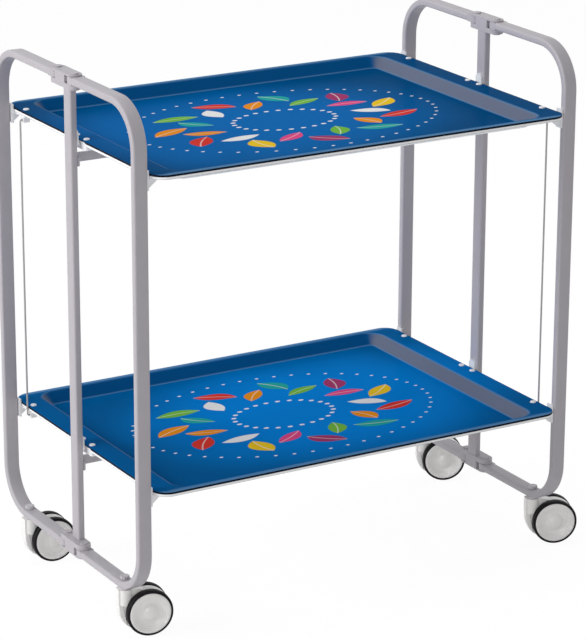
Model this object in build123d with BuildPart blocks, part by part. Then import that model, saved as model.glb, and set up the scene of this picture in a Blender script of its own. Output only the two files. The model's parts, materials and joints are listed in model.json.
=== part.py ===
from build123d import *
from math import cos, radians, sin, sqrt
import os

os.makedirs("parts", exist_ok=True)

# Folding trolley with two pressed trays. X runs along the trays, Y from front (-) to rear (+),
# Z up. The origin is on the floor, midway between the two end loops.

# Frame
half_length = 327.0        # from the middle to the plane of each end loop
upright_y = 200.0          # from the middle to the centre of each upright
bar_above_wheels = 10.0    # from the wheels' tops up to the lower bars' centre
loop_height = 656.0        # between the lower and the upper bars' centres
tube_wide = 20.0           # flat tube, across the loop
tube_thick = 10.0          # flat tube, in the plane of the loop
tube_wall = 1.2
tube_corner = 4.0
bend_radius = 58.0
post_inset = 4.5           # the posts stand this much nearer the middle than the loops

# Hinges, where each half of a loop turns about a vertical pin
hinge_pin_y = 24.0
hinge_pin_radius = 3.0
hinge_head_radius = 5.5
hinge_head_height = 1.6
plate_length = 66.0
plate_thickness = 2.0
saddle_height = 7.0        # the deep strap on the post's side of each bar
saddle_wall = 1.6
running_fit = 0.05
body_gap = 0.3
plug_insert = 12.0         # how far an end plug goes into its tube

# Rails and their lugs
rail_y = 15.0
rail_drop = 30.0           # from a tray's rim to the rail's centre
rail_thick = 8.0
rail_tall = 12.0
rail_wall = 1.0
lug_thickness = 3.0
lug_front_y = -9.0

# Trays
tray_end_gap = 3.5         # between a tray's end and the uprights' inner faces
tray_overhang = 20.0       # how far a tray's long sides stand out past the uprights' centres
upper_rim_drop = 85.0      # from the upper bars down to the upper tray's rim
lower_rim_rise = 147.0     # from the lower bars up to the lower tray's rim
tray_corner = 22.0
sheet = 1.0
skirt_depth = 6.0
skirt_round = 1.5
end_flange = 32.0
side_flange = 10.0
pan_depth = 15.0
pan_corner = 24.0

# Tray pivots, on the axis that runs along the trays
pivot_drop = 7.0           # from the rim down to the pivot axis
peg_radius = 3.5
peg_reach = 12.5           # how far a peg goes past the tray's end
bearing_length = 14.0
bearing_half_width = 22.0
bearing_depth = 12.0
bearing_floor = 0.5        # left beyond the peg's tip
notch_clearance = 0.5
ear_thickness = 3.0
ear_width = 14.0
ear_above_rim = 12.0
ear_below_rim = 12.0

# Corner brackets and rivets
corner_rivet_end_inset = 7.5
corner_rivet_side_inset = 52.0
pivot_rivet_end_inset = 7.0
pivot_rivet_y = 14.0
rivet_radius = 2.5
rivet_head_radius = 4.2
rivet_head_height = 1.8
rivet_head_round = 1.4
rivet_depth = 7.0
bracket_reach = 15.5       # from a tray's end inwards
bracket_margin = 8.0       # beyond the corner rivet, towards the middle
bracket_arm_width = 12.0
bracket_past_upright = 2.0
bracket_depth = 9.0
bracket_plate = 2.4
bracket_plate_drop = 22.0
bracket_plate_rise = 4.0
gusset_thickness = 3.0
foot_gap = 0.6             # between a bracket's foot and the skirt

# Linking rods
rod_radius = 1.25
rod_drop = 13.0            # from a rim down to the rod's bent end
rod_bend = 3.0
rod_hook = 14.3            # how far the bent end reaches inwards
rod_tray_gap = 0.55        # between a rod and the tray's end
holder_width = 9.0
holder_length = 9.2
holder_depth = 7.5
holder_fit = 0.05
open_pivot_fit = 0.25      # the lower holders, where the linkage is open

# Casters
caster_inset = 56.0        # from an upright to its caster's stem
caster_trail = 30.0
wheel_radius = 32.0
wheel_width = 12.0
tyre_thickness = 3.6
tyre_round = 1.6
hood_half_width = 6.5
hood_inside_wheels = 2.5   # how much smaller the hood's radius is than the wheels'
hood_lowest = 8.0
wheel_gap = 0.3
neck_radius = 10.5
axle_radius = 3.0
axle_end_wall = 2.5        # left between the axle's end and the disc's face
stem_radius = 5.0
stem_collar_radius = 8.5
stem_collar_height = 2.6
socket_above_axle = 13.0
socket_floor = 1.2
cap_radius = 5.8
cap_height = 4.0
cap_ribs = 12
cap_rib_radius = 0.75
hub_dome_radius = 13.0
disc_step = 0.8
disc_rim_width = 4.4       # the outer ring of a wheel's face
disc_ring_width = 5.0      # the next ring, one step lower
caster_yaw = {             # the way each caster trails, turned from +X
    "left_front": -10.6,
    "left_rear": -2.4,
    "right_front": -20.6,
    "right_rear": -23.6,
}

sides = {"left": -1, "right": 1}
ends = {"front": -1, "rear": 1}

# Levels and places that follow from the sizes above
bottom_bar_z = 2 * wheel_radius + bar_above_wheels
top_bar_z = bottom_bar_z + loop_height
upper_rim_z = top_bar_z - upper_rim_drop
lower_rim_z = bottom_bar_z + lower_rim_rise
tray_rims = {"upper": upper_rim_z, "lower": lower_rim_z}
half_wide = tube_wide / 2
half_thick = tube_thick / 2
upright_inner_x = half_length - half_wide
tray_half_length = upright_inner_x - tray_end_gap
tray_half_depth = upright_y + tray_overhang
post_x = half_length - post_inset
post_inner_x = post_x - half_thick
plate_gap = half_thick + body_gap
knuckle_half = hinge_pin_y - half_wide - body_gap
post_low_z = bottom_bar_z - plate_gap
post_high_z = top_bar_z + plate_gap
tube_end_y = hinge_pin_y + half_wide
lug_inner_x = post_inner_x - lug_thickness
corner_rivet_x = tray_half_length - corner_rivet_end_inset
corner_rivet_y = tray_half_depth - corner_rivet_side_inset
pivot_rivet_x = tray_half_length - pivot_rivet_end_inset
rod_x = tray_half_length + rod_tray_gap + rod_radius
rod_y = corner_rivet_y
rod_tip_x = rod_x - rod_hook
bracket_inner_x = tray_half_length - bracket_reach
bracket_outer_x = upright_inner_x - body_gap
bracket_inner_y = corner_rivet_y - bracket_margin
bracket_outer_y = upright_y + bracket_past_upright
bracket_arm_y = bracket_outer_y - bracket_arm_width
stem_y = upright_y - caster_inset
inner_bend = bend_radius - half_thick
cap_in_bend = max(0, stem_y + cap_radius + cap_rib_radius - upright_y + bend_radius)
cap_lift = inner_bend - sqrt(inner_bend**2 - cap_in_bend**2)
stem_high_z = bottom_bar_z + half_thick + cap_lift + body_gap
stem_low_z = bottom_bar_z - half_thick - body_gap
neck_high_z = stem_low_z - stem_collar_height - body_gap
stem_socket_z = wheel_radius + socket_above_axle
neck_low_z = stem_socket_z - socket_floor
hood_radius = wheel_radius - hood_inside_wheels
disc_radius = wheel_radius - tyre_thickness
wheel_inner = hood_half_width + wheel_gap
wheel_outer = wheel_inner + wheel_width
axle_half = wheel_outer - axle_end_wall
rim_inner_radius = disc_radius - disc_rim_width
ring_inner_radius = rim_inner_radius - disc_ring_width

# Posts: flat tube turned so that its wide side faces the trays
for side_name, side in sides.items():
    with BuildPart() as post:
        with BuildSketch(Plane.XY.offset(post_low_z)):
            with Locations((side * post_x, 0)):
                RectangleRounded(tube_thick, tube_wide, tube_corner)
                RectangleRounded(
                    tube_thick - 2 * tube_wall,
                    tube_wide - 2 * tube_wall,
                    tube_corner - tube_wall,
                    mode=Mode.SUBTRACT,
                )
        extrude(amount=post_high_z - post_low_z)
    post.part.label = f"{side_name}_post"
    export_step(post.part, f"parts/{side_name}_post.step")

# Loop halves: one bent tube each, with a hole for the caster's stem
for side_name, side in sides.items():
    for end_name, end in ends.items():
        loop_plane = Plane.YZ.offset(side * half_length)
        with BuildPart() as half_tube:
            with BuildLine(loop_plane) as loop_path:
                FilletPolyline(
                    (end * tube_end_y, top_bar_z),
                    (end * upright_y, top_bar_z),
                    (end * upright_y, bottom_bar_z),
                    (end * tube_end_y, bottom_bar_z),
                    radius=bend_radius,
                )
            section_plane = Plane(
                origin=loop_path.line @ 0, x_dir=(1, 0, 0), z_dir=loop_path.line % 0
            )
            with BuildSketch(section_plane):
                RectangleRounded(tube_wide, tube_thick, tube_corner)
                RectangleRounded(
                    tube_wide - 2 * tube_wall,
                    tube_thick - 2 * tube_wall,
                    tube_corner - tube_wall,
                    mode=Mode.SUBTRACT,
                )
            sweep(path=loop_path.line)
            with BuildSketch(Plane.XY.offset(bottom_bar_z - half_thick)):
                with Locations((side * half_length, end * stem_y)):
                    Circle(stem_radius + running_fit)
            extrude(amount=tube_thick + cap_lift, mode=Mode.SUBTRACT)
        half_tube.part.label = f"{side_name}_{end_name}_tube"
        export_step(half_tube.part, f"parts/{side_name}_{end_name}_tube.step")

        # End plugs: a rounded eye for the hinge pin and a tongue inside the tube
        with BuildPart() as plugs:
            for bar_z in (bottom_bar_z, top_bar_z):
                with BuildSketch(Plane.XY.offset(bar_z - half_thick)):
                    with Locations((side * half_length, end * hinge_pin_y)):
                        Circle(half_wide)
                    with Locations((side * half_length, end * (hinge_pin_y + half_wide / 2))):
                        Rectangle(tube_wide, half_wide)
                extrude(amount=tube_thick)
                tongue_plane = Plane.XZ.offset(-end * tube_end_y)
                with BuildSketch(tongue_plane):
                    with Locations((side * half_length, bar_z)):
                        RectangleRounded(
                            tube_wide - 2 * tube_wall,
                            tube_thick - 2 * tube_wall,
                            tube_corner - tube_wall,
                        )
                extrude(amount=-end * plug_insert)
            with BuildSketch(Plane.XY.offset(bottom_bar_z - tube_thick)):
                with Locations((side * half_length, end * hinge_pin_y)):
                    Circle(hinge_pin_radius + running_fit)
            extrude(amount=top_bar_z - bottom_bar_z + 2 * tube_thick, mode=Mode.SUBTRACT)
        plugs.part.label = f"{side_name}_{end_name}_plugs"
        export_step(plugs.part, f"parts/{side_name}_{end_name}_plugs.step")

# Hinge plates: at each bar a thin strap, a hollow saddle on the post's side and a knuckle between
# them, which fills the space between the two tube ends
hinge_bars = ((bottom_bar_z, 1), (top_bar_z, -1))
for side_name, side in sides.items():
    with BuildPart() as hinge_plates:
        for bar_z, inward in hinge_bars:
            strap_z = bar_z - inward * plate_gap
            saddle_z = bar_z + inward * plate_gap
            with BuildSketch(Plane.XY.offset(strap_z)):
                with Locations((side * half_length, 0)):
                    SlotOverall(plate_length, tube_wide, rotation=90)
            extrude(amount=-inward * plate_thickness)
            with BuildSketch(Plane.XY.offset(saddle_z)):
                with Locations((side * half_length, 0)):
                    SlotOverall(plate_length, tube_wide, rotation=90)
            extrude(amount=inward * saddle_height)
            with BuildSketch(Plane.XY.offset(saddle_z)):
                with Locations((side * half_length, 0)):
                    SlotOverall(
                        plate_length - 2 * saddle_wall, tube_wide - 2 * saddle_wall, rotation=90
                    )
            extrude(amount=inward * (saddle_height - plate_thickness), mode=Mode.SUBTRACT)
            with BuildSketch(Plane.XY.offset(strap_z)):
                with Locations((side * half_length, 0)):
                    Rectangle(tube_wide, 2 * knuckle_half)
            extrude(amount=2 * inward * plate_gap)
        with BuildSketch(Plane.XY.offset(post_low_z)):
            with Locations((side * post_x, 0)):
                RectangleRounded(tube_thick, tube_wide, tube_corner)
        extrude(amount=post_high_z - post_low_z, mode=Mode.SUBTRACT)
        with BuildSketch(Plane.XY.offset(bottom_bar_z - plate_gap - plate_thickness)):
            with Locations((side * half_length, -hinge_pin_y), (side * half_length, hinge_pin_y)):
                Circle(hinge_pin_radius)
        extrude(amount=top_bar_z - bottom_bar_z + 2 * (plate_gap + plate_thickness), mode=Mode.SUBTRACT)
    hinge_plates.part.label = f"{side_name}_hinge_plates"
    export_step(hinge_plates.part, f"parts/{side_name}_hinge_plates.step")

# Hinge pins: a rivet with two heads through the strap and the saddle at each tube end
with BuildPart() as hinge_pins:
    for bar_z, inward in hinge_bars:
        pin_places = [
            (side * half_length, end * hinge_pin_y)
            for side in sides.values()
            for end in ends.values()
        ]
        strap_face_z = bar_z - inward * (plate_gap + plate_thickness)
        saddle_face_z = bar_z + inward * (plate_gap + saddle_height)
        with BuildSketch(Plane.XY.offset(strap_face_z)):
            with Locations(*pin_places):
                Circle(hinge_pin_radius)
        extrude(amount=saddle_face_z - strap_face_z)
        for face_z, outward in ((strap_face_z, -inward), (saddle_face_z, inward)):
            with BuildSketch(Plane.XY.offset(face_z)):
                with Locations(*pin_places):
                    Circle(hinge_head_radius)
            extrude(amount=outward * hinge_head_height)
hinge_pins.part.label = "hinge_pins"
export_step(hinge_pins.part, "parts/hinge_pins.step")

# Rails: a flat tube under each tray, from lug to lug
for tray_name, rim_z in tray_rims.items():
    with BuildPart() as rail:
        with BuildSketch(Plane.YZ.offset(-lug_inner_x)):
            with Locations((rail_y, rim_z - rail_drop)):
                Rectangle(rail_thick, rail_tall)
                Rectangle(
                    rail_thick - 2 * rail_wall, rail_tall - 2 * rail_wall, mode=Mode.SUBTRACT
                )
        extrude(amount=2 * lug_inner_x)
    rail.part.label = f"{tray_name}_rail"
    export_step(rail.part, f"parts/{tray_name}_rail.step")

# Rail lugs: small plates on the posts' inner faces
with BuildPart() as rail_lugs:
    lug_back_y = rail_y + rail_thick / 2
    for lug_side in sides.values():
        lug_low_x = lug_inner_x if lug_side > 0 else -post_inner_x
        with BuildSketch(Plane.YZ.offset(lug_low_x)):
            for rim_z in tray_rims.values():
                with Locations(((lug_front_y + lug_back_y) / 2, rim_z - rail_drop)):
                    Rectangle(lug_back_y - lug_front_y, rail_tall)
        extrude(amount=lug_thickness)
rail_lugs.part.label = "rail_lugs"
export_step(rail_lugs.part, "parts/rail_lugs.step")

# Pivot ears: rounded white cheeks on the posts' inner faces, level with the trays
with BuildPart() as pivot_ears:
    ear_height = ear_above_rim + ear_below_rim
    for ear_side in sides.values():
        ear_low_x = post_inner_x - ear_thickness if ear_side > 0 else -post_inner_x
        with BuildSketch(Plane.YZ.offset(ear_low_x)):
            for rim_z in tray_rims.values():
                with Locations((0, rim_z + (ear_above_rim - ear_below_rim) / 2)):
                    SlotOverall(ear_height, ear_width, rotation=90)
                with Locations((0, rim_z - pivot_drop)):
                    Circle(peg_radius, mode=Mode.SUBTRACT)
        extrude(amount=ear_thickness)
pivot_ears.part.label = "pivot_ears"
export_step(pivot_ears.part, "parts/pivot_ears.step")

# Pivot pegs: through the ears into the trays' bearings
with BuildPart() as pivot_pegs:
    peg_tip_x = tray_half_length - peg_reach
    for peg_side in sides.values():
        peg_low_x = peg_tip_x if peg_side > 0 else -post_inner_x
        with BuildSketch(Plane.YZ.offset(peg_low_x)):
            for rim_z in tray_rims.values():
                with Locations((0, rim_z - pivot_drop)):
                    Circle(peg_radius)
        extrude(amount=post_inner_x - peg_tip_x)
pivot_pegs.part.label = "pivot_pegs"
export_step(pivot_pegs.part, "parts/pivot_pegs.step")

corner_places = [
    (side * corner_rivet_x, end * corner_rivet_y)
    for side in sides.values()
    for end in ends.values()
]
pivot_places = [
    (side * pivot_rivet_x, end * pivot_rivet_y)
    for side in sides.values()
    for end in ends.values()
]
rivet_places = corner_places + pivot_places
# A rod hangs at the left rear and at the right front corner
rod_corners = {"left": (-1, 1), "right": (1, -1)}

for tray_name, rim_z in tray_rims.items():
    underside_z = rim_z - sheet

    # Tray: flange, turned-down skirt and a sloping-walled pan, all of one sheet
    with BuildPart() as tray:
        with BuildSketch(Plane.XY.offset(rim_z - skirt_depth)):
            RectangleRounded(2 * tray_half_length, 2 * tray_half_depth, tray_corner)
        extrude(amount=skirt_depth)
        fillet(tray.faces().sort_by(Axis.Z)[-1].edges(), radius=skirt_round)
        with BuildSketch(Plane.XY.offset(rim_z - skirt_depth)):
            RectangleRounded(
                2 * (tray_half_length - sheet), 2 * (tray_half_depth - sheet), tray_corner - sheet
            )
        extrude(amount=skirt_depth - sheet, mode=Mode.SUBTRACT)
        pan_length = 2 * (tray_half_length - end_flange)
        pan_width = 2 * (tray_half_depth - side_flange)
        with BuildSketch(Plane.XY.offset(underside_z)):
            RectangleRounded(pan_length + 2 * sheet, pan_width + 2 * sheet, pan_corner + sheet)
        with BuildSketch(Plane.XY.offset(underside_z - pan_depth)):
            RectangleRounded(
                pan_length - 2 * (pan_depth - sheet),
                pan_width - 2 * (pan_depth - sheet),
                pan_corner - pan_depth + sheet,
            )
        loft(ruled=True)
        with BuildSketch(Plane.XY.offset(rim_z)):
            RectangleRounded(pan_length, pan_width, pan_corner)
        with BuildSketch(Plane.XY.offset(rim_z - pan_depth)):
            RectangleRounded(
                pan_length - 2 * pan_depth, pan_width - 2 * pan_depth, pan_corner - pan_depth
            )
        loft(ruled=True, mode=Mode.SUBTRACT)
        # Rivet holes, and a notch in the skirt at each pivot
        with BuildSketch(Plane.XY.offset(underside_z)):
            with Locations(*rivet_places):
                Circle(rivet_radius)
        extrude(amount=sheet, mode=Mode.SUBTRACT)
        with BuildSketch(Plane.XY.offset(rim_z - skirt_depth)):
            with Locations((-tray_half_length, 0), (tray_half_length, 0)):
                Rectangle(2 * bearing_length, 2 * (bearing_half_width + notch_clearance))
        extrude(amount=skirt_depth - sheet, mode=Mode.SUBTRACT)
    tray.part.label = f"{tray_name}_tray"
    export_step(tray.part, f"parts/{tray_name}_tray.step")

    # Bearing blocks under the end flanges, each bored for its peg
    with BuildPart() as bearings:
        block_x = tray_half_length - skirt_round - bearing_length / 2
        with BuildSketch(Plane.XY.offset(underside_z - bearing_depth)):
            with Locations((-block_x, 0), (block_x, 0)):
                RectangleRounded(bearing_length, 2 * bearing_half_width, peg_radius)
        extrude(amount=bearing_depth)
        bore_depth = peg_reach + bearing_floor
        for block_side in sides.values():
            bore_low_x = tray_half_length - bore_depth if block_side > 0 else -tray_half_length
            with BuildSketch(Plane.YZ.offset(bore_low_x)):
                with Locations((0, rim_z - pivot_drop)):
                    Circle(peg_radius + running_fit)
            extrude(amount=bore_depth, mode=Mode.SUBTRACT)
        with BuildSketch(Plane.XY.offset(underside_z - rivet_depth)):
            with Locations(*pivot_places):
                Circle(rivet_radius)
        extrude(amount=rivet_depth, mode=Mode.SUBTRACT)
    bearings.part.label = f"{tray_name}_bearings"
    export_step(bearings.part, f"parts/{tray_name}_bearings.step")

    # Corner brackets: a foot under the flange, an arm past the skirt and a cheek by the upright
    with BuildPart() as brackets:
        foot_outer_x = tray_half_length - sheet - foot_gap
        arm_high_z = rim_z - skirt_depth - body_gap
        for foot_side, foot_end in [(s, e) for s in sides.values() for e in ends.values()]:
            foot_centre = (
                foot_side * (bracket_inner_x + foot_outer_x) / 2,
                foot_end * (bracket_inner_y + bracket_outer_y) / 2,
            )
            arm_centre = (
                foot_side * (bracket_inner_x + bracket_outer_x) / 2,
                foot_end * (bracket_arm_y + bracket_outer_y) / 2,
            )
            cheek_centre = (
                foot_side * (bracket_outer_x - bracket_plate / 2),
                foot_end * (bracket_arm_y + bracket_outer_y) / 2,
            )
            with BuildSketch(Plane.XY.offset(rim_z - bracket_depth)):
                with Locations(foot_centre):
                    Rectangle(foot_outer_x - bracket_inner_x, bracket_outer_y - bracket_inner_y)
            extrude(amount=bracket_depth - sheet)
            with BuildSketch(Plane.XY.offset(rim_z - bracket_depth)):
                with Locations(arm_centre):
                    Rectangle(bracket_outer_x - bracket_inner_x, bracket_outer_y - bracket_arm_y)
            extrude(amount=arm_high_z - rim_z + bracket_depth)
            with BuildSketch(Plane.XY.offset(rim_z - bracket_plate_drop)):
                with Locations(cheek_centre):
                    Rectangle(bracket_plate, bracket_outer_y - bracket_arm_y)
            extrude(amount=bracket_plate_drop + bracket_plate_rise)
            gusset_plane = Plane.XZ.offset(-arm_centre[1] - gusset_thickness / 2)
            with BuildSketch(gusset_plane):
                with BuildLine():
                    Polyline(
                        (foot_side * bracket_inner_x, rim_z - bracket_depth),
                        (foot_side * (bracket_outer_x - bracket_plate), rim_z - bracket_depth),
                        (foot_side * (bracket_outer_x - bracket_plate), rim_z - bracket_plate_drop),
                        close=True,
                    )
                make_face()
            extrude(amount=gusset_thickness)
        with BuildSketch(Plane.XY.offset(underside_z - rivet_depth)):
            with Locations(*corner_places):
                Circle(rivet_radius)
        extrude(amount=rivet_depth, mode=Mode.SUBTRACT)
    brackets.part.label = f"{tray_name}_corner_brackets"
    export_step(brackets.part, f"parts/{tray_name}_corner_brackets.step")

    # Rivets: round-headed pins through the flange
    with BuildPart() as rivets:
        with BuildSketch(Plane.XY.offset(underside_z - rivet_depth)):
            with Locations(*rivet_places):
                Circle(rivet_radius)
        extrude(amount=rivet_depth + sheet)
        with BuildSketch(Plane.XY.offset(rim_z)):
            with Locations(*rivet_places):
                Circle(rivet_head_radius)
        extrude(amount=rivet_head_height)
        head_tops = rivets.faces().filter_by(Axis.Z).group_by(Axis.Z)[-1].edges()
        fillet(head_tops, radius=rivet_head_round)
    rivets.part.label = f"{tray_name}_tray_rivets"
    export_step(rivets.part, f"parts/{tray_name}_tray_rivets.step")

    # Rod holders: white eyes below two of the brackets
    with BuildPart() as holders:
        holder_high_z = rim_z - bracket_depth
        holder_outer_x = tray_half_length - sheet - body_gap
        holder_inner_x = holder_outer_x - holder_length
        bore_fit = holder_fit if tray_name == "upper" else open_pivot_fit
        for rod_side, rod_end in rod_corners.values():
            holder_centre = (rod_side * (holder_inner_x + holder_outer_x) / 2, rod_end * rod_y)
            with BuildSketch(Plane.XY.offset(holder_high_z - holder_depth)):
                with Locations(holder_centre):
                    Rectangle(holder_outer_x - holder_inner_x, holder_width)
            extrude(amount=holder_depth)
            bore_low_x = holder_inner_x if rod_side > 0 else -holder_outer_x
            with BuildSketch(Plane.YZ.offset(bore_low_x)):
                with Locations((rod_end * rod_y, rim_z - rod_drop)):
                    Circle(rod_radius + bore_fit)
            extrude(amount=holder_outer_x - holder_inner_x, mode=Mode.SUBTRACT)
    holders.part.label = f"{tray_name}_rod_holders"
    export_step(holders.part, f"parts/{tray_name}_rod_holders.step")

# Linking rods: thin wire with both ends bent inwards through the holders
for rod_name, (rod_side, rod_end) in rod_corners.items():
    with BuildPart() as rod:
        with BuildLine(Plane.XZ.offset(-rod_end * rod_y)) as rod_path:
            FilletPolyline(
                (rod_side * rod_tip_x, upper_rim_z - rod_drop),
                (rod_side * rod_x, upper_rim_z - rod_drop),
                (rod_side * rod_x, lower_rim_z - rod_drop),
                (rod_side * rod_tip_x, lower_rim_z - rod_drop),
                radius=rod_bend,
            )
        with BuildSketch(Plane(origin=rod_path.line @ 0, z_dir=rod_path.line % 0)):
            Circle(rod_radius)
        sweep(path=rod_path.line)
    rod.part.label = f"{rod_name}_rod"
    export_step(rod.part, f"parts/{rod_name}_rod.step")

# Casters: in each wheel plane, x runs the way the caster trails and y runs up
for side_name, side in sides.items():
    for end_name, end in ends.items():
        caster = f"{side_name}_{end_name}"
        yaw = radians(caster_yaw[caster])
        stem_x = side * half_length
        wheel_plane = Plane(
            origin=(
                stem_x + caster_trail * cos(yaw),
                end * stem_y + caster_trail * sin(yaw),
                wheel_radius,
            ),
            x_dir=(cos(yaw), sin(yaw), 0),
            z_dir=(sin(yaw), -cos(yaw), 0),
        )

        # Stem and its ribbed cap, two solids that meet on top of the bar
        with BuildPart() as stem:
            with BuildSketch(Plane.XY.offset(stem_socket_z + body_gap)):
                with Locations((stem_x, end * stem_y)):
                    Circle(stem_radius)
            extrude(amount=stem_high_z - stem_socket_z - body_gap)
            with BuildSketch(Plane.XY.offset(stem_low_z - stem_collar_height)):
                with Locations((stem_x, end * stem_y)):
                    Circle(stem_collar_radius)
            extrude(amount=stem_collar_height)
            with BuildSketch(Plane.XY.offset(stem_high_z)):
                with Locations((stem_x, end * stem_y)):
                    Circle(cap_radius)
                    with PolarLocations(cap_radius, cap_ribs):
                        Circle(cap_rib_radius)
            extrude(amount=cap_height)
        stem.part.label = f"{caster}_stem"
        export_step(stem.part, f"parts/{caster}_stem.step")

        # Hood: a round body between the wheels, with the neck that turns on the stem
        with BuildPart() as hood:
            with BuildSketch(wheel_plane.offset(-hood_half_width)):
                Circle(hood_radius)
                with BuildLine():
                    Polyline(
                        (0, 0),
                        (-caster_trail - neck_radius, neck_low_z - wheel_radius),
                        (-caster_trail - neck_radius, neck_high_z - wheel_radius),
                        (-caster_trail + neck_radius, neck_high_z - wheel_radius),
                        (0, hood_radius),
                        close=True,
                    )
                make_face()
                with Locations((0, hood_lowest / 2 - wheel_radius)):
                    Rectangle(2 * wheel_radius, hood_lowest, mode=Mode.SUBTRACT)
            extrude(amount=2 * hood_half_width)
            with BuildSketch(Plane.XY.offset(neck_low_z)):
                with Locations((stem_x, end * stem_y)):
                    Circle(neck_radius)
            extrude(amount=neck_high_z - neck_low_z)
            for face_offset in (-neck_radius - wheel_gap, hood_half_width):
                with BuildSketch(wheel_plane.offset(face_offset)):
                    Circle(wheel_radius + 2 * wheel_gap)
                extrude(amount=neck_radius + wheel_gap - hood_half_width, mode=Mode.SUBTRACT)
            with BuildSketch(Plane.XY.offset(stem_socket_z)):
                with Locations((stem_x, end * stem_y)):
                    Circle(stem_radius + running_fit)
            extrude(amount=neck_high_z - stem_socket_z, mode=Mode.SUBTRACT)
            with BuildSketch(wheel_plane.offset(-hood_half_width)):
                Circle(axle_radius)
            extrude(amount=2 * hood_half_width, mode=Mode.SUBTRACT)
        hood.part.label = f"{caster}_hood"
        export_step(hood.part, f"parts/{caster}_hood.step")

        # Axle, fixed in the hood
        with BuildPart() as axle:
            with BuildSketch(wheel_plane.offset(-axle_half)):
                Circle(axle_radius)
            extrude(amount=2 * axle_half)
        axle.part.label = f"{caster}_axle"
        export_step(axle.part, f"parts/{caster}_axle.step")

        for wheel_name, face in {"outer": 1, "inner": -1}.items():
            # The half section lies beside the axle: x is the radius, y the distance outwards
            section = Plane(
                origin=wheel_plane.origin,
                x_dir=wheel_plane.x_dir,
                z_dir=-face * wheel_plane.y_dir,
            )
            with BuildPart() as disc:
                with BuildSketch(section):
                    with BuildLine():
                        Polyline(
                            (axle_radius + running_fit, wheel_inner),
                            (disc_radius, wheel_inner),
                            (disc_radius, wheel_outer - disc_step),
                            (disc_radius - 2 * disc_step, wheel_outer),
                            (rim_inner_radius, wheel_outer),
                            (rim_inner_radius - disc_step, wheel_outer - disc_step),
                            (ring_inner_radius, wheel_outer - disc_step),
                            (ring_inner_radius - disc_step, wheel_outer - 2 * disc_step),
                            (hub_dome_radius, wheel_outer - 2 * disc_step),
                            (hub_dome_radius - 2 * disc_step, wheel_outer - disc_step),
                            (0, wheel_outer - disc_step / 2),
                            (0, axle_half + wheel_gap),
                            (axle_radius + running_fit, axle_half + wheel_gap),
                            close=True,
                        )
                    make_face()
                revolve(axis=Axis(wheel_plane.origin, wheel_plane.z_dir))
            disc.part.label = f"{caster}_{wheel_name}_disc"
            export_step(disc.part, f"parts/{caster}_{wheel_name}_disc.step")

            with BuildPart() as tyre:
                with BuildSketch(section):
                    with Locations((disc_radius + tyre_thickness / 2, wheel_inner + wheel_width / 2)):
                        tread = Rectangle(tyre_thickness, wheel_width)
                    fillet(tread.vertices().group_by(Axis.X)[-1], radius=tyre_round)
                revolve(axis=Axis(wheel_plane.origin, wheel_plane.z_dir))
            tyre.part.label = f"{caster}_{wheel_name}_tyre"
            export_step(tyre.part, f"parts/{caster}_{wheel_name}_tyre.step")
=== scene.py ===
# %% [markdown]
# # A folding kitchen cart with two printed trays
# Two end loops of flat grey tube, hinged in the middle of their top and bottom bars, carry two
# pressed blue trays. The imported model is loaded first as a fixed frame. It gives every place and
# size, so each finer piece made here goes exactly where its plain solid already is.
# %% Load the frame
import json
import math

import bmesh
import bpy
import numpy as np
from mathutils import Matrix, Vector


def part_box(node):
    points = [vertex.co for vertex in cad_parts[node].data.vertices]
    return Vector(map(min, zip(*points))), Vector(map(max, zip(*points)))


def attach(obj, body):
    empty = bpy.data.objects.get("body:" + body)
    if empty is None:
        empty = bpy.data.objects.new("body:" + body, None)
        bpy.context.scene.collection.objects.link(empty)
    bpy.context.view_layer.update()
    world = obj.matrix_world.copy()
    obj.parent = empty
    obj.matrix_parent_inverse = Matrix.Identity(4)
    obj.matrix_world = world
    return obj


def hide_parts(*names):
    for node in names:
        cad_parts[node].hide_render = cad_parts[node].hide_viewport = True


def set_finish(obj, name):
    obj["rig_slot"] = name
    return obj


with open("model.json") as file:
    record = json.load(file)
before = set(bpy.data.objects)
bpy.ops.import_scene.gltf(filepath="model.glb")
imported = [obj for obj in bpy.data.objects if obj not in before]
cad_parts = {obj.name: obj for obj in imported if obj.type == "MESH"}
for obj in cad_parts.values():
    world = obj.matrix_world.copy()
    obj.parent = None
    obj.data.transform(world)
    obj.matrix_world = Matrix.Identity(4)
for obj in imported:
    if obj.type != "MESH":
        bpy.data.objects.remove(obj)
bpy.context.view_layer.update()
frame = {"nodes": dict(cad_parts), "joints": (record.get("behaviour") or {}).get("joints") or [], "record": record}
record = frame["record"]
body_of = {n: b for b, names in record["behaviour"]["bodies"].items() for n in names}
slot_of = {s["node"]: s["material_slot"] for s in record["subparts"]}
joint_of = {j["name"]: j for j in frame["joints"]}
mm = 0.001

# %% [markdown]
# ## The camera
# The photograph was taken from the front left, a little above the trays, with a long lens. Its
# place was found by matching the edges of the tubes and trays. A camera is turned by three
# perpendicular arrows: right, up and back. The lens follows from the picture's height.
# %% Camera
picture_height = 640
sensor = 36.0
camera_azimuth, camera_elevation, camera_roll = (math.radians(a) for a in (-30.51, 18.18, 0.22))
camera_place = Vector((-1.9936, -3.4073, 1.6406))
focal_pixels = 3001.0

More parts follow.
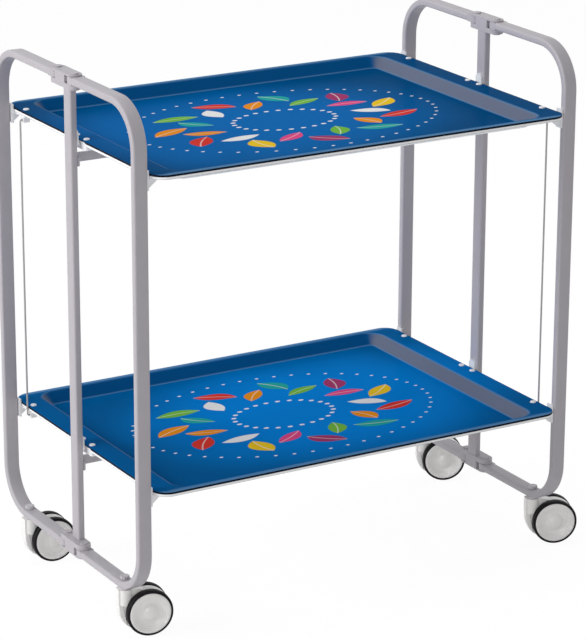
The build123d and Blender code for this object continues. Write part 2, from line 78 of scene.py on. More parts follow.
back = Vector((
    math.sin(camera_azimuth) * math.cos(camera_elevation),
    -math.cos(camera_azimuth) * math.cos(camera_elevation),
    math.sin(camera_elevation),
))
level = Vector((math.cos(camera_azimuth), math.sin(camera_azimuth), 0))
upward = back.cross(level)
right = level * math.cos(camera_roll) + upward * math.sin(camera_roll)
up = back.cross(right)
lens = bpy.data.cameras.new("view_camera")
lens.sensor_width = sensor
lens.lens = focal_pixels / picture_height * sensor
lens.clip_end = 50
camera = bpy.data.objects.new("view_camera", lens)
camera.matrix_world = Matrix((
    (right.x, up.x, back.x, camera_place.x),
    (right.y, up.y, back.y, camera_place.y),
    (right.z, up.z, back.z, camera_place.z),
    (0, 0, 0, 1),
))
bpy.context.scene.collection.objects.link(camera)
bpy.context.scene.camera = camera
bpy.context.scene.view_settings.view_transform = "Standard"
print("lens", round(lens.lens, 1), "mm")

# %% [markdown]
# ## Making meshes from arrays
# Every new piece is a grid of points worked out at once with numpy. Rows run along the piece and
# columns run round it. One helper joins the grid into four-sided faces and closes its ends, and
# another merges doubled points, turns the faces outwards and marks the edges that should look sharp.
# %% Mesh helpers
def grid_faces(rows, columns):
    """Faces of a grid whose columns close into a ring: corner (i, j) joins (i + 1, j + 1)."""
    i, j = np.meshgrid(np.arange(rows - 1), np.arange(columns), indexing="ij")
    k = (j + 1) % columns
    quads = np.stack([i * columns + j, i * columns + k, (i + 1) * columns + k, (i + 1) * columns + j], -1)
    return quads.reshape(-1, 4)


def ring_piece(grids, name, sharp=35, closed_ends=True):
    """One object from one or more grids of points, each rows by columns by three."""
    points, faces, start = [], [], 0
    for grid in grids:
        rows, columns = grid.shape[:2]
        points.append(grid.reshape(-1, 3))
        faces += (grid_faces(rows, columns) + start).tolist()
        if closed_ends:
            first = start + np.arange(columns)
            faces += [first[::-1].tolist(), (first + (rows - 1) * columns).tolist()]
        start += rows * columns
    mesh = bpy.data.meshes.new(name)
    mesh.from_pydata(np.concatenate(points).tolist(), [], faces)
    return tidy_piece(mesh, name, sharp)


def tidy_piece(mesh, name, sharp):
    """Merges doubled points, points the faces outwards and keeps edges over `sharp` degrees crisp."""
    work = bmesh.new()
    work.from_mesh(mesh)
    bmesh.ops.remove_doubles(work, verts=work.verts, dist=2e-6)
    bmesh.ops.dissolve_degenerate(work, edges=work.edges, dist=1e-7)
    bmesh.ops.recalc_face_normals(work, faces=work.faces)
    work.to_mesh(mesh)
    work.free()
    mesh.shade_smooth()
    mesh.set_sharp_from_angle(angle=math.radians(sharp))
    piece = bpy.data.objects.new(name, mesh)
    bpy.context.scene.collection.objects.link(piece)
    return piece


def stands_for(piece, node, *more):
    """The piece takes a node's place, body and material slot."""
    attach(piece, body_of[node])
    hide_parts(node, *more)
    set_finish(piece, slot_of[node])
    return piece


def middle(node):
    """The middle of a node's box."""
    low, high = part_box(node)
    return (low + high) / 2


# %% [markdown]
# Corners on a real product are never quite sharp. A line of control points gets each inner corner
# replaced by a short curve, a quadratic Bezier that leaves along one edge and arrives along the next.
# The points may have any number of coordinates, which the trays use.
# %% Rounded lines
def rounded_line(points, radii, steps=5):
    """Corner p with neighbours a and b becomes (1-t)^2 s + 2t(1-t) p + t^2 e, where s and e lie one
    radius from p towards a and b."""
    points = np.asarray(points, float)
    t = np.linspace(0, 1, steps + 1)[:, None]
    parts = [points[:1]]
    for a, p, b, radius in zip(points[:-2], points[1:-1], points[2:], radii):
        s = p + (a - p) / np.linalg.norm(a - p) * radius
        e = p + (b - p) / np.linalg.norm(b - p) * radius
        parts.append((1 - t) ** 2 * s + 2 * t * (1 - t) * p + t**2 * e)
    parts.append(points[-1:])
    return np.concatenate(parts)


def rounded_rectangle(wide, tall, radius, steps=5):
    """A closed outline: quarter turns of one radius about four corner centres."""
    quarter = np.linspace(0, np.pi / 2, steps + 1)
    angle = (quarter[None, :] + np.arange(4)[:, None] * np.pi / 2).ravel()
    signs = np.array([(1, 1), (-1, 1), (-1, -1), (1, -1)])
    centres = np.repeat(signs * (wide / 2 - radius, tall / 2 - radius), steps + 1, axis=0)
    return centres + radius * np.stack([np.cos(angle), np.sin(angle)], -1)


# %% [markdown]
# ## The flat tube
# All of the frame is one kind of tube, twice as wide as it is thick, with rounded corners. A half
# of an end loop is that outline carried along two straight bars, two bends and an upright. The
# posts and rails are the same outline carried along a straight line.
# %% Tube shapes
tube_wide, tube_thick, tube_corner = 20 * mm, 10 * mm, 2.6 * mm
bend_radius = 58 * mm
flat_tube = rounded_rectangle(tube_wide, tube_thick, tube_corner)


def carried(section, path, side):
    """Each path point carries the section: point + u * side + v * (direction x side)."""
    path, side = np.asarray(path, float), np.asarray(side, float)
    direction = np.gradient(path, axis=0)
    direction /= np.linalg.norm(direction, axis=1, keepdims=True)
    across = np.cross(direction, side)
    return path[:, None] + section[None, :, :1] * side + section[None, :, 1:] * across[:, None]


def arc(centre, start, turn, radius, steps=18):
    """A turn in a plane, in degrees: centre + radius (cos, sin) of an angle that grows evenly."""
    angle = np.radians(start + turn * np.linspace(0, 1, steps + 1))
    return centre + radius * np.stack([np.cos(angle), np.sin(angle)], -1)


def loop_half(node):
    """The tube's centre line in its own plane: a top bar, a bend, an upright, a bend and a bottom bar."""
    low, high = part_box(node)
    rear = abs(high.y) > abs(low.y)
    end = 1 if rear else -1
    hinge_y = min(abs(low.y), abs(high.y))
    upright_y = max(abs(low.y), abs(high.y)) - tube_thick / 2
    top_z, bottom_z = high.z - tube_thick / 2, low.z + tube_thick / 2
    bend_y = upright_y - bend_radius
    over = arc((bend_y, top_z - bend_radius), 90, -90, bend_radius)
    under = arc((bend_y, bottom_z + bend_radius), 0, -90, bend_radius)
    line = np.concatenate([[(hinge_y, top_z)], over, under, [(hinge_y, bottom_z)]])
    path = np.stack([np.full(len(line), (low.x + high.x) / 2), end * line[:, 0], line[:, 1]], -1)
    return carried(flat_tube, path, (1, 0, 0))


# %% Loop halves, posts and rails
sides, ends = ("left", "right"), ("front", "rear")
casters = [f"{s}_{e}" for s in sides for e in ends]
grey_pieces = []
for corner in casters:
    tube = ring_piece([loop_half(f"{corner}_tube")], f"{corner}_bent_tube", sharp=50)
    grey_pieces.append(stands_for(tube, f"{corner}_tube"))

for s in sides:
    low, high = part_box(f"{s}_post")
    centre = middle(f"{s}_post")
    path = np.array([(centre.x, centre.y, low.z), (centre.x, centre.y, high.z)])
    post = ring_piece([carried(flat_tube, path, (0, 1, 0))], f"{s}_post_tube", sharp=50)
    grey_pieces.append(stands_for(post, f"{s}_post"))

rail_corner = 1.6 * mm
for t in ("upper", "lower"):
    low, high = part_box(f"{t}_rail")
    outline = rounded_rectangle(high.z - low.z, high.y - low.y, rail_corner, steps=3)
    centre = middle(f"{t}_rail")
    path = np.array([(low.x, centre.y, centre.z), (high.x, centre.y, centre.z)])
    rail = ring_piece([carried(outline, path, (0, 0, 1))], f"{t}_rail_tube", sharp=50)
    grey_pieces.append(stands_for(rail, f"{t}_rail"))
print(len(grey_pieces), "tubes")

# %% [markdown]
# ## The trays
# A tray is pressed from one steel sheet: a wide flange at each end, a narrow one along each side, a
# sloping wall with soft creases and a flat floor. Its rim is turned down into a short skirt. The sheet
# is a stack of rounded rectangles. Each level of the stack has four numbers: how far it lies in from
# the ends, how far in from the sides, its corner radius and its height. Rounding that list of four
# numbers rounds every crease at once. The same list, set in by the sheet's thickness, is the underside.
# %% Tray sheet
sheet = 1.0 * mm
end_flange, side_flange, pan_depth = 32 * mm, 10 * mm, 15 * mm
rim_corner, pan_corner, skirt_depth = 22 * mm, 24 * mm, 6 * mm
notch_half, notch_ease = 22.5 * mm, 1.5 * mm
edge_start, edge_band, rim_shine = 0.2 * mm, 2.8 * mm, 6.4 * mm
crease = 4.5 * mm
slope_inset = sheet * (math.sqrt(2) - 1)


def sheet_levels():
    """Rows of (inset at the ends, inset at the sides, corner radius, height) from the floor's edge
    on top, out over the rim, and back underneath."""
    floor, wall = pan_depth, pan_depth
    rim = 0.0
    top = [
        (end_flange + wall + 8 * mm, side_flange + wall + 8 * mm, 3 * mm, -floor),
        (end_flange + wall, side_flange + wall, pan_corner - wall, -floor),
        (end_flange, side_flange, pan_corner, rim),
        (rim_shine, rim_shine, rim_corner - rim_shine, rim),
        (0, 0, rim_corner, rim),
        (0, 0, rim_corner, -edge_band),
        (0, 0, rim_corner, -skirt_depth),
    ]
    under = [
        (sheet, sheet, rim_corner - sheet, -skirt_depth),
        (sheet, sheet, rim_corner - sheet, -sheet),
        (end_flange - slope_inset, side_flange - slope_inset, pan_corner + slope_inset, -sheet),
        (
            end_flange + wall - slope_inset,
            side_flange + wall - slope_inset,
            pan_corner - wall + slope_inset,
            -floor - sheet,
        ),
        (end_flange + wall + 8 * mm, side_flange + wall + 8 * mm, 3 * mm, -floor - sheet),
    ]
    radii = [crease, crease, 0.1 * mm, 1.5 * mm, 0.1 * mm, 0.4 * mm, 0.4 * mm, 0.6 * mm, crease, crease]
    return rounded_line(top + under, radii, steps=6)


def tray_grid(node):
    """Each level is a rounded rectangle with extra stations on its ends, where the skirt is notched."""
    low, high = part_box(node)
    half_x, half_y, rim_z = (high.x - low.x) / 2, (high.y - low.y) / 2, high.z
    in_x, in_y, radius, height = sheet_levels().T[:, :, None]
    steps = 9
    quarter = np.linspace(0, np.pi / 2, steps + 1)
    stations = np.array([-60, -30, -24, -22.5, -12, 0, 12, 22.5, 24, 30, 60]) * mm
    corner_x = half_x - in_x - radius
    corner_y = half_y - in_y - radius
    rows = []
    for quadrant, (sx, sy) in enumerate([(1, 1), (-1, 1), (-1, -1), (1, -1)]):
        angle = quarter + quadrant * np.pi / 2
        rows.append((sx * corner_x + radius * np.cos(angle), sy * corner_y + radius * np.sin(angle)))
        if sx * sy < 0:
            end_y = np.broadcast_to(sx * stations, (len(height), len(stations)))
            rows.append((np.broadcast_to(sx * (half_x - in_x), end_y.shape), end_y))
    x = np.concatenate([r[0] for r in rows], 1)
    y = np.concatenate([r[1] for r in rows], 1)
    z = np.broadcast_to(height, x.shape).copy()
    inside_notch = (np.abs(x) > half_x - 2 * sheet) & (np.abs(y) < notch_half + 1e-6)
    z[inside_notch & (z < -notch_ease)] = -notch_ease
    return np.stack([x, y, z + rim_z], -1)


# %% Trays in place
tray_pieces = []
for t in ("upper", "lower"):
    tray = ring_piece([tray_grid(f"{t}_tray")], f"{t}_tray_sheet", sharp=60)
    tray_pieces.append(stands_for(tray, f"{t}_tray"))
print([len(p.data.polygons) for p in tray_pieces], "faces on the trays")

# %% [markdown]
# ## Turned pieces
# Wheels are round about an axis, so each is a half outline spun round. Every point of
# the outline is a radius and a distance along the axis. The wheel disc steps inwards in shallow rings
# to a raised dome, and the tyre is a thin black band with a soft shoulder.
# %% Turning
def turned(outline, centre, axis, around, steps=64):
    """centre + axis * height + radius (cos, sin) in the plane square to the axis; `around` lies in it."""
    outline = np.asarray(outline, float)
    axis, around = np.asarray(axis, float), np.asarray(around, float)
    across = np.cross(axis, around)
    angle = np.linspace(0, 2 * np.pi, steps, endpoint=False)
    spokes = np.cos(angle)[:, None] * around + np.sin(angle)[:, None] * across
    ring = outline[:, None, :1] * spokes[None]
    return np.asarray(centre) + ring + outline[:, None, 1:] * axis


def wheel_frame(corner):
    """Where a caster's axle is, which way it points and which way the caster trails."""
    spin = joint_of[f"{corner}_outer_spin"]
    axis = np.array(spin["axis"], float)
    return np.array(spin["pos_m"], float), axis, np.cross(axis, (0, 0, 1)) * -1


# %% Wheels
wheel_inner = 6.8 * mm
disc_outline = [
    (0, 1.5), (6.0, 1.5), (7.0, 0.0), (27.2, 0.0), (28.4, 0.6), (28.4, 11.2), (27.6, 11.9), (25.4, 11.9),
    (24.8, 11.0), (22.6, 10.5), (22.0, 9.6), (20.0, 9.0), (19.4, 8.2), (17.0, 7.3), (14.6, 6.9),
    (12.9, 7.2), (11.4, 8.2), (9.8, 9.6), (7.4, 10.8), (4.0, 11.6), (0, 11.9),
]
tyre_outline = [
    (28.4, 6.0), (28.4, 1.2), (29.2, 0.4), (30.6, 0.5), (31.6, 1.4), (32.0, 3.0), (32.0, 6.0),
    (32.0, 9.0), (31.6, 10.6), (30.6, 11.5), (29.2, 11.6), (28.4, 10.8), (28.4, 6.0),
]
discs, tyres = [], []
for corner in casters:
    centre, axis, trail = wheel_frame(corner)
    for which, way in (("outer", 1), ("inner", -1)):
        face = centre + axis * way * wheel_inner
        outline = np.array(disc_outline) * mm
        disc = ring_piece(
            [turned(outline, face, axis * way, trail)], f"{corner}_{which}_wheel_disc", sharp=28,
            closed_ends=False,
        )
        discs.append(stands_for(disc, f"{corner}_{which}_disc"))
        band = np.array(tyre_outline) * mm
        tyre = ring_piece(
            [turned(band, face, axis * way, trail)], f"{corner}_{which}_wheel_tyre", sharp=40,
            closed_ends=False,
        )
        tyres.append(stands_for(tyre, f"{corner}_{which}_tyre"))
print(len(discs), "discs and", len(tyres), "tyres")

# %% [markdown]
# Between its two wheels a caster has one round cover, nearly as large as they are. Its outline lies in
# the wheels' plane: an arc over the top, the neck's flat end, and a nose that runs down the neck's
# outer side and curves back below the axle. The outline is carried across the cover, a little smaller
# at both faces, which rounds its edges.
# %% Caster covers
cover_half = 6.4 * mm
cover_round = 1.6 * mm
cover_radius = 31.0 * mm
cover_nose = [(-6, 30.4), (-19.5, 33.4), (-40.4, 33.4), (-40.4, -8), (-24, -23.6), (20, -23.6)]


def outline_inset(outline, by):
    """Each point moves inwards, square to the line through its neighbours."""
    along = np.roll(outline, -1, 0) - np.roll(outline, 1, 0)
    inwards = np.stack([-along[:, 1], along[:, 0]], -1) / np.linalg.norm(along, axis=1, keepdims=True)
    return outline + inwards * by


def cover(corner):
    """Rows across the cover: centre + x * trail + z * up + offset * axle."""
    centre, axis, trail = wheel_frame(corner)
    nose = rounded_line(np.array(cover_nose) * mm, np.array([6, 2, 15, 9]) * mm, steps=8)
    outline = np.concatenate([arc((0, 0), -48, 148, cover_radius, steps=36), nose])
    turn = np.linspace(0, np.pi / 2, 5)
    inset = cover_round * (1 - np.sin(turn))
    offset = cover_half - cover_round * (1 - np.cos(turn))
    inset, offset = np.concatenate([inset, inset[::-1]]), np.concatenate([-offset, offset[::-1]])
    grid = np.stack([outline_inset(outline, by) for by in inset])
    up = np.array((0, 0, 1.0))
    return centre + grid[..., :1] * trail + grid[..., 1:] * up + offset[:, None, None] * axis


covers = []
for corner in casters:
    piece = ring_piece([cover(corner)], f"{corner}_hood_cover", sharp=50)
    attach(piece, body_of[f"{corner}_hood"])
    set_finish(piece, slot_of[f"{corner}_hood"])
    covers.append(piece)
print(len(covers), "covers")

# %% [markdown]
# ## Thin wires
# The two linking rods are stiff wire, bent inwards at both ends, where they hook through the holders.
# A round section is carried along a line with two small bends.
# %% Linking rods
wire_radius, wire_bend = 1.25 * mm, 3 * mm
round_section = wire_radius * np.stack([np.cos(np.linspace(0, 2 * np.pi, 16, endpoint=False)),
                                        np.sin(np.linspace(0, 2 * np.pi, 16, endpoint=False))], -1)
rods = []
for s in sides:
    low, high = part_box(f"{s}_rod")
    side = 1 if s == "right" else -1
    outer_x, tip_x = max(abs(low.x), abs(high.x)) - wire_radius, min(abs(low.x), abs(high.x))
    rod_y, high_z, low_z = (low.y + high.y) / 2, high.z - wire_radius, low.z + wire_radius
    line = [(side * tip_x, rod_y, high_z), (side * outer_x, rod_y, high_z),
            (side * outer_x, rod_y, low_z), (side * tip_x, rod_y, low_z)]
    path = rounded_line(line, [wire_bend, wire_bend], steps=8)
    rod = ring_piece([carried(round_section, path, (0, 1, 0))], f"{s}_link_rod", sharp=60)
    rods.append(stands_for(rod, f"{s}_rod"))
print(len(rods), "rods")

# %% [markdown]
# ## Small fittings that keep their plain solids
# The remaining fittings are already the right shape: the hinge plates, plugs, pins, axles, stems,
# bearings, brackets, ears, pegs, holders and lugs. They stay as they are and get a finish, and so do
# the hoods inside their covers.

# %% [markdown]
# ## Finishes
# Each finish is a small node tree on the Principled shader. Slow noise moves the colour a little, as
# handling and moulding do, and fine noise makes the surface's texture as a bump. Everything reads
# Object coordinates, so that the pattern stays on the piece when a joint moves.
# %% Finish helpers
def srgb(red, green, blue):
    """A colour from 0 to 255 as shown on a screen, made linear for the shader."""
    shown = np.array([red, green, blue]) / 255
    linear = np.where(shown <= 0.04045, shown / 12.92, ((shown + 0.055) / 1.055) ** 2.4)
    return (*(float(v) for v in linear), 1.0)


def add(tree, kind, **settings):
    """A new node, with each setting put on the node itself or on the socket of that name."""
    made = tree.nodes.new(kind)
    for key, value in settings.items():
        if hasattr(made, key):
            setattr(made, key, value)
        else:
            made.inputs[key.replace("_", " ")].default_value = value
    return made


def noise_value(tree, scale, detail=3.0, stretch=(1, 1, 1)):
    """Noise on Object coordinates, finer along an axis that is stretched more."""
    place = add(tree, "ShaderNodeTexCoord")
    turned_place = add(tree, "ShaderNodeMapping", vector_type="TEXTURE")
    turned_place.inputs["Scale"].default_value = tuple(1 / s for s in stretch)
    noise = add(tree, "ShaderNodeTexNoise", Scale=scale, Detail=detail)
    tree.links.new(place.outputs["Object"], turned_place.inputs["Vector"])
    tree.links.new(turned_place.outputs["Vector"], noise.inputs["Vector"])
    return noise.outputs["Fac"]


def finish(name, light, dark, cloud, grain, relief, shine, stretch=(1, 1, 1), **sockets):
    """cloud and grain are the scales of slow colour and fine texture, relief is the bump's depth in
    metres, and shine is the least and most roughness."""
    made = bpy.data.materials.new(name)
    made.use_nodes = True
    tree = made.node_tree
    shader = tree.nodes["Principled BSDF"]
    for socket, value in sockets.items():
        shader.inputs[socket.replace("_", " ")].default_value = value
    slow = noise_value(tree, cloud, 4.0)
    fine = noise_value(tree, grain, 2.0, stretch)
    colour = add(tree, "ShaderNodeMix", data_type="RGBA")
    for socket in colour.inputs:
        if socket.type == "RGBA":
            socket.default_value = dark if socket.name == "A" else light
    tree.links.new(slow, colour.inputs["Factor"])
    tree.links.new(next(o for o in colour.outputs if o.type == "RGBA"), shader.inputs["Base Color"])
    rough = add(tree, "ShaderNodeMapRange", To_Min=shine[0], To_Max=shine[1])
    tree.links.new(fine, rough.inputs["Value"])
    tree.links.new(rough.outputs["Result"], shader.inputs["Roughness"])
    bump = add(tree, "ShaderNodeBump", Distance=relief)
    tree.links.new(fine, bump.inputs["Height"])
    tree.links.new(bump.outputs["Normal"], shader.inputs["Normal"])
    return made


# %% [markdown]
# The trays' print is a pattern on the sheet, so it is drawn with arithmetic on the place itself. A
# small class lets a node's output be added, multiplied and compared like a number, so that the
# pattern reads as a formula and still ends up as nodes.
# %% Arithmetic with nodes
class Field:
    """A number at every point of a surface: + - * / and a few functions each add one Math node."""

    def __init__(self, tree, socket):
        self.tree, self.socket = tree, socket

    def math(self, operation, *others):
        node = add(self.tree, "ShaderNodeMath", operation=operation)
        for place, value in enumerate((self, *others)):
            if isinstance(value, Field):
                self.tree.links.new(value.socket, node.inputs[place])
            else:
                node.inputs[place].default_value = value
        return Field(self.tree, node.outputs[0])

    def __add__(self, other):
        return self.math("ADD", other)

    def __sub__(self, other):
        return self.math("SUBTRACT", other)

    def __mul__(self, other):
        return self.math("MULTIPLY", other)

    def __truediv__(self, other):
        return self.math("DIVIDE", other)

    def below(self, limit, soft):
        """1 where the field is under the limit, 0 above it, with a narrow ramp between."""
        ramp = add(self.tree, "ShaderNodeMapRange", interpolation_type="SMOOTHSTEP")
        ends = (("From Min", limit - soft), ("From Max", limit + soft), ("To Min", 1.0), ("To Max", 0.0))
        for name, value in ends:
            ramp.inputs[name].default_value = value
        self.tree.links.new(self.socket, ramp.inputs["Value"])
        return Field(self.tree, ramp.outputs["Result"])


def painted_over(tree, under, over, mask):
    """The under colour, with the over colour where the mask is 1."""
    mix = add(tree, "ShaderNodeMix", data_type="RGBA")
    for socket in mix.inputs:
        if socket.type != "RGBA":
            continue
        value = under if socket.name == "A" else over
        if isinstance(value, tuple):
            socket.default_value = value
        else:
            tree.links.new(value, socket)
    tree.links.new(mask.socket, mix.inputs["Factor"])
    return next(o for o in mix.outputs if o.type == "RGBA")


# %% [markdown]
# The print is a blue ground, brightest left of the middle and deeper towards the edges, with a wreath
# of coloured leaves and two rings of white dots. The leaves are laid out in polar coordinates: the
# turn round the middle is cut into equal sectors, and a leaf is where a point's place in its sector
# lies inside a lens. The lower tray stands in the upper one's shadow, so its ground is painted lighter
# and its bright spot is moved, as painted light. On the pressed walls, attributes on the mesh carry
# painted shade on the sides, a painted reflection on the ends and painted highlights along the creases and rim.
# %% Tray print
wreath_x, wreath_y = 150 * mm, 100 * mm
# The last of these moves the bright spot on the lower tray: painted light for the shade it stands in
spot_left, spot_long, spot_deep, lower_tray_light_shift = 60 * mm, 330 * mm, 230 * mm, 120 * mm
between_trays = 430 * mm
leaf_count, dot_count = 22, 52
leaf_offset, leaf_lean, leaf_reach, leaf_width = 0.13, 0.7, 0.27, 0.125
leaf_colours = [
    (242, 150, 30), (246, 205, 40), (120, 190, 70), (225, 60, 50),
    (235, 80, 140), (40, 170, 165), (245, 245, 245), (170, 60, 110),
]


def tray_print():
    """The finish of the trays' upper face."""
    made = bpy.data.materials.new("blue_tray")
    made.use_nodes = True
    tree = made.node_tree
    shader = tree.nodes["Principled BSDF"]
    shader.inputs["Specular IOR Level"].default_value = 0.001
    place = add(tree, "ShaderNodeTexCoord")
    split = add(tree, "ShaderNodeSeparateXYZ")
    tree.links.new(place.outputs["Object"], split.inputs[0])
    x, y = Field(tree, split.outputs["X"]), Field(tree, split.outputs["Y"])

    # The ground: one blue under another, by distance from a bright spot. On the lower tray both blues are painted
    # lighter and the spot is moved, as painted light against the upper tray's shadow
    lower = Field(tree, split.outputs["Z"]).below(between_trays, 50 * mm)
    beside = (x - lower * lower_tray_light_shift + spot_left) / spot_long
    spot = beside.math("POWER", 2.0) + (y / spot_deep).math("POWER", 2.0)
    cloud = Field(tree, noise_value(tree, 7.0, 3.0)) - 0.5
    # The second colour of each pair is painted light: the lower tray's ground lifted against its shade
    deep = painted_over(tree, srgb(0, 76, 130), srgb(0, 94, 158), lower)
    bright = painted_over(tree, srgb(0, 108, 186), srgb(0, 136, 228), lower)
    colour = painted_over(tree, deep, bright, (spot + cloud * 0.35).below(0.55, 0.55))

    # The leaves: u runs round the wreath and v runs across it, both about a leaf's own middle
    around_x, around_y = x / wreath_x, y / wreath_y
    turn = around_y.math("ARCTAN2", around_x) / (2 * math.pi) + 0.5
    reach = (around_x.math("POWER", 2.0) + around_y.math("POWER", 2.0)).math("SQRT") - 1.0
    sector = (turn * leaf_count).math("FLOOR")
    side_of = sector.math("MODULO", 2.0) * 2.0 - 1.0
    u = ((turn * leaf_count).math("FRACT") - 0.5) * (2 * math.pi / leaf_count)
    v = reach - side_of * leaf_offset
    along, across = v + u * side_of * leaf_lean, u - v * side_of * leaf_lean
    lens = across.math("ABSOLUTE") + (along / leaf_reach).math("POWER", 2.0) * leaf_width
    leaf = lens.below(leaf_width, 0.008)
    vein = across.math("ABSOLUTE").below(0.008, 0.004) * leaf
    tint = add(tree, "ShaderNodeValToRGB")
    tint.color_ramp.interpolation = "CONSTANT"
    stops = tint.color_ramp.elements
    while len(stops) < len(leaf_colours):
        stops.new(0.5)
    for place_in_ramp, (stop, shown) in enumerate(zip(stops, leaf_colours)):
        stop.position = place_in_ramp / len(leaf_colours)
        stop.color = srgb(*shown)
    choice = (sector * 0.3819).math("FRACT")
    tree.links.new(choice.socket, tint.inputs[0])
    colour = painted_over(tree, colour, tint.outputs["Color"], leaf)
    colour = painted_over(tree, colour, srgb(250, 250, 250), vein * 0.55)

    # The dots: a ring inside the wreath and a finer one outside it
    for ring, size, count in ((-0.50, 0.026, dot_count / 2), (0.50, 0.018, dot_count)):
        beside = ((turn * count).math("FRACT") - 0.5) * (2 * math.pi * (1 + ring) / count)
        gap = (beside.math("POWER", 2.0) + (reach - ring).math("POWER", 2.0)).math("SQRT")
        colour = painted_over(tree, colour, srgb(245, 247, 250), gap.below(size, 0.004))

    # Painted light on the pressed walls: painted shade on the side walls, a painted reflection on the end walls,
    # and painted highlights along the creases and the rim
    walls = (
        ("side_wall_shade", (0, 82, 141)), ("end_wall_reflection", (104, 112, 132)), ("crease", (104, 146, 186)),
        ("rim_highlight", (104, 152, 196)),
    )
    for name, painted_colour in walls:
        painted_mask = add(tree, "ShaderNodeAttribute", attribute_name=name)
        colour = painted_over(tree, colour, srgb(*painted_colour), Field(tree, painted_mask.outputs["Fac"]))
    tree.links.new(colour, shader.inputs["Base Color"])

    fine = noise_value(tree, 1100, 2.0)
    rough = add(tree, "ShaderNodeMapRange", To_Min=0.22, To_Max=0.30)
    tree.links.new(fine, rough.inputs["Value"])
    tree.links.new(rough.outputs["Result"], shader.inputs["Roughness"])
    bump = add(tree, "ShaderNodeBump", Distance=0.00002)
    tree.links.new(fine, bump.inputs["Height"])
    tree.links.new(bump.outputs["Normal"], shader.inputs["Normal"])
    return made


# %% [markdown]
# The painted light on the walls needs to know which way the sheet faces, so the mesh carries numbers at
# each corner point: how much it faces an end (a painted reflection), how much it faces a side (painted
# shade) and how near it is to a crease, where the normal leans by about twenty degrees (a painted
# highlight). A fourth number marks the painted highlight along the rim's long sides. The underside and
# the rim's edge get finishes of their own.
# %% Painted light and finishes on the tray
def smooth_step(value, low, high):
    share = np.clip((value - low) / (high - low), 0, 1)
    return share * share * (3 - 2 * share)


def paint_tray_light_and_finishes(tray, node):
    """Painted light as attributes from the normals n: a painted reflection on the ends from |n.x|, painted shade
    on the sides from |n.y|, a painted highlight at the creases from sqrt(n.x^2 + n.y^2), and a painted highlight
    along the rim.
    A face belongs to the edge by its distance from the rim, a rectangle with round corners."""
    mesh = tray.data
    count = len(mesh.vertices)
    spots, normals = np.empty(count * 3), np.empty(count * 3)
    mesh.vertices.foreach_get("co", spots)
    mesh.vertex_normals.foreach_get("vector", normals)
    spots, normals = spots.reshape(-1, 3), normals.reshape(-1, 3)
    low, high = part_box(node)
    from_side = high.y - np.abs(spots[:, 1])
    inside = smooth_step(np.minimum(high.x - np.abs(spots[:, 0]), from_side), 3 * mm, 5 * mm)
    lean = np.hypot(normals[:, 0], normals[:, 1])
    painted_light_by_name = {
        # Painted shade on the walls facing the sides
        "side_wall_shade": smooth_step(np.abs(normals[:, 1]), 0.2, 0.6) * inside,
        # A painted reflection on the walls facing the ends
        "end_wall_reflection": smooth_step(np.abs(normals[:, 0]), 0.2, 0.6) * inside,
        # A painted highlight where the sheet turns at a crease
        "crease": 0.55 * np.exp(-(((lean - 0.40) / 0.16) ** 2)) * inside,
        # A painted highlight along the rim's long sides
        "rim_highlight": 0.75 * (1 - smooth_step(from_side, 5.5 * mm, 9.2 * mm)) * (normals[:, 2] > 0.3),
    }
    for name, values in painted_light_by_name.items():
        layer = mesh.attributes.new(name, "FLOAT", "POINT")
        layer.data.foreach_set("value", values)
    faces = len(mesh.polygons)
    centres, facing = np.empty(faces * 3), np.empty(faces * 3)
    mesh.polygons.foreach_get("center", centres)
    mesh.polygons.foreach_get("normal", facing)
    centres, facing = centres.reshape(-1, 3), facing.reshape(-1, 3)
    below_rim = high.z - centres[:, 2]
    under = (facing[:, 2] < -0.2) | (below_rim > edge_band) & (np.abs(facing[:, 2]) < 0.05)
    past_corner = np.abs(centres[:, :2]) - np.array([high.x, high.y]) + rim_corner
    from_rim = rim_corner - np.hypot(*np.maximum(past_corner, 0).T) - np.minimum(past_corner.max(1), 0)
    edge = ~under & (below_rim > edge_start) & (from_rim < 2 * sheet)
    finish_of = np.where(under, 1, np.where(edge, 2, 0)).astype(np.int32)
    mesh.polygons.foreach_set("material_index", finish_of)
    return np.bincount(finish_of, minlength=3)


# %% Plain finishes
plain_finishes = {
    "grey_enamel": finish(
        "grey_enamel", srgb(186, 182, 188), srgb(177, 173, 179), 30, 900, 0.00004, (0.34, 0.46),
        Specular_IOR_Level=0.3,
    ),
    "white_plastic": finish(
        "white_plastic", srgb(242, 243, 245), srgb(234, 235, 238), 60, 1400, 0.00003, (0.30, 0.42),
    ),
    "caster_plastic": finish(
        "caster_plastic", srgb(248, 247, 245), srgb(241, 240, 238), 50, 1600, 0.00002, (0.18, 0.28),
    ),
    "cap_plastic": finish(
        "cap_plastic", srgb(206, 203, 208), srgb(190, 187, 192), 80, 1600, 0.00004, (0.38, 0.50),
    ),
    "black_tyre": finish(
        "black_tyre", srgb(24, 22, 26), srgb(15, 14, 17), 90, 1800, 0.00006, (0.42, 0.60),
        Specular_IOR_Level=0.12,
    ),
    "steel_wire": finish(
        "steel_wire", srgb(176, 175, 176), srgb(150, 149, 150), 40, 700, 0.00002, (0.28, 0.40),
        stretch=(6, 6, 0.4), Metallic=0.35,
    ),
    "rivet_steel": finish(
        "rivet_steel", srgb(170, 168, 172), srgb(140, 138, 143), 200, 1500, 0.00003, (0.30, 0.42),
        Metallic=0.6,
    ),
}
plain_finishes["blue_tray"] = tray_print()
tray_underside = finish(
    "tray_underside", srgb(252, 253, 254), srgb(248, 249, 251), 25, 1000, 0.00003, (0.25, 0.36),
)
tray_edge = finish(
    "tray_edge", srgb(14, 22, 40), srgb(8, 14, 28), 60, 1400, 0.00002, (0.35, 0.46),
    Specular_IOR_Level=0.06,
)
for name, node in frame["nodes"].items():
    node.data.materials.clear()
    node.data.materials.append(plain_finishes[slot_of[name]])
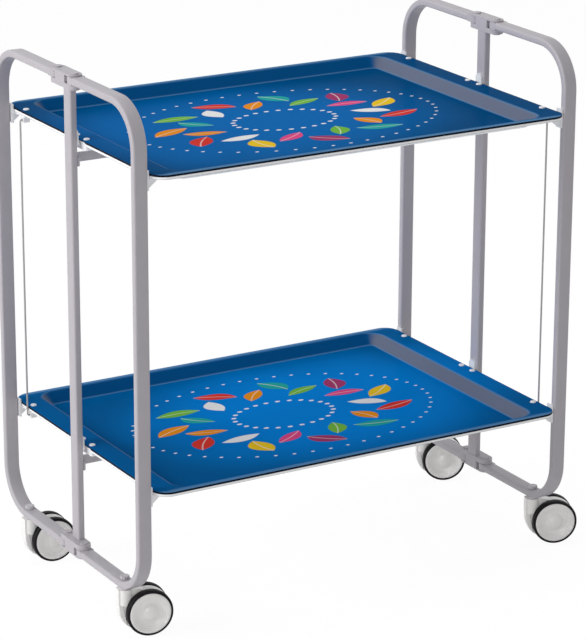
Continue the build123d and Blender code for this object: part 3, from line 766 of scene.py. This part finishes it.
replacements = grey_pieces + tray_pieces + discs + tyres + covers + rods
for piece in replacements:
    piece.data.materials.append(plain_finishes[piece["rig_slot"]])
for tray, t in zip(tray_pieces, ("upper", "lower")):
    tray.data.materials.append(tray_underside)
    tray.data.materials.append(tray_edge)
    print("faces printed, white and edge:", paint_tray_light_and_finishes(tray, f"{t}_tray"))
print(len(plain_finishes) + 2, "finishes")

# %% [markdown]
# ## The studio
# The photograph has no background but white. The floor is white where the camera, a glossy surface or
# glass looks at it, and otherwise plain, so the object keeps its soft shadow. The light comes mostly
# from the left and above, which is why the tubes' left faces are pale and their front faces are dark.
# Two weak lamps, in front and on the right, lift the casters and the lower tray.
# %% Floor and backdrop
def white_to_the_camera(tree, plain):
    """A mix of a plain shader and one still to be linked, which camera, glossy and glass rays see."""
    path = add(tree, "ShaderNodeLightPath")
    either = add(tree, "ShaderNodeMath", operation="MAXIMUM")
    any_of = add(tree, "ShaderNodeMath", operation="MAXIMUM")
    tree.links.new(path.outputs["Is Camera Ray"], either.inputs[0])
    tree.links.new(path.outputs["Is Glossy Ray"], either.inputs[1])
    tree.links.new(either.outputs[0], any_of.inputs[0])
    tree.links.new(path.outputs["Is Transmission Ray"], any_of.inputs[1])
    mix = add(tree, "ShaderNodeMixShader")
    tree.links.new(any_of.outputs[0], mix.inputs[0])
    tree.links.new(plain, mix.inputs[1])
    return mix


floor_size = 40.0
floor_mesh = bpy.data.meshes.new("studio_floor")
corners = np.array([(-1, -1, 0), (1, -1, 0), (1, 1, 0), (-1, 1, 0)]) * floor_size / 2
floor_mesh.from_pydata((corners + (0, 0, -0.0005)).tolist(), [], [(0, 1, 2, 3)])
floor = bpy.data.objects.new("studio_floor", floor_mesh)
bpy.context.scene.collection.objects.link(floor)
floor_finish = bpy.data.materials.new("studio_floor")
floor_finish.use_nodes = True
tree = floor_finish.node_tree
tree.nodes.remove(tree.nodes["Principled BSDF"])
plain = add(tree, "ShaderNodeBsdfDiffuse", Color=(0.8, 0.8, 0.8, 1))
white = add(tree, "ShaderNodeEmission", Color=(1, 1, 1, 1), Strength=1.05)
catch = add(tree, "ShaderNodeMixShader", Fac=0.90)
tree.links.new(plain.outputs[0], catch.inputs[1])
tree.links.new(white.outputs[0], catch.inputs[2])
mix = white_to_the_camera(tree, plain.outputs[0])
tree.links.new(catch.outputs[0], mix.inputs[2])
tree.links.new(mix.outputs[0], tree.nodes["Material Output"].inputs["Surface"])
floor_mesh.materials.append(floor_finish)

# %% World
world = bpy.data.worlds.new("studio")
bpy.context.scene.world = world
world.use_nodes = True
tree = world.node_tree
soft = tree.nodes["Background"]
soft.inputs["Color"].default_value = (1, 1, 1, 1)
soft.inputs["Strength"].default_value = 0.32
white = add(tree, "ShaderNodeBackground", Color=(1, 1, 1, 1), Strength=1.0)
mix = white_to_the_camera(tree, soft.outputs[0])
tree.links.new(white.outputs[0], mix.inputs[2])
tree.links.new(mix.outputs[0], tree.nodes["World Output"].inputs["Surface"])


# %% Lamps
def soft_lamp(name, place, aim, size, watts):
    """A square area lamp that looks from one point at another."""
    data = bpy.data.lights.new(name, "AREA")
    data.shape, data.size, data.energy = "SQUARE", size, watts
    lamp = bpy.data.objects.new(name, data)
    lamp.location = place
    lamp.rotation_euler = (Vector(aim) - Vector(place)).to_track_quat("-Z", "Y").to_euler()
    bpy.context.scene.collection.objects.link(lamp)
    return lamp


heart = (0, 0, 0.4)
soft_lamp("left_lamp", (-6.0, 1.2, 2.4), heart, 3.4, 255)
soft_lamp("top_lamp", (-0.2, 0.6, 3.4), heart, 2.4, 30)
soft_lamp("front_lamp", (-1.6, -3.4, 0.5), (0, 0, 0.1), 1.4, 24)
soft_lamp("right_lamp", (3.2, 0.2, 1.1), (0.2, 0, 0.2), 1.0, 14)
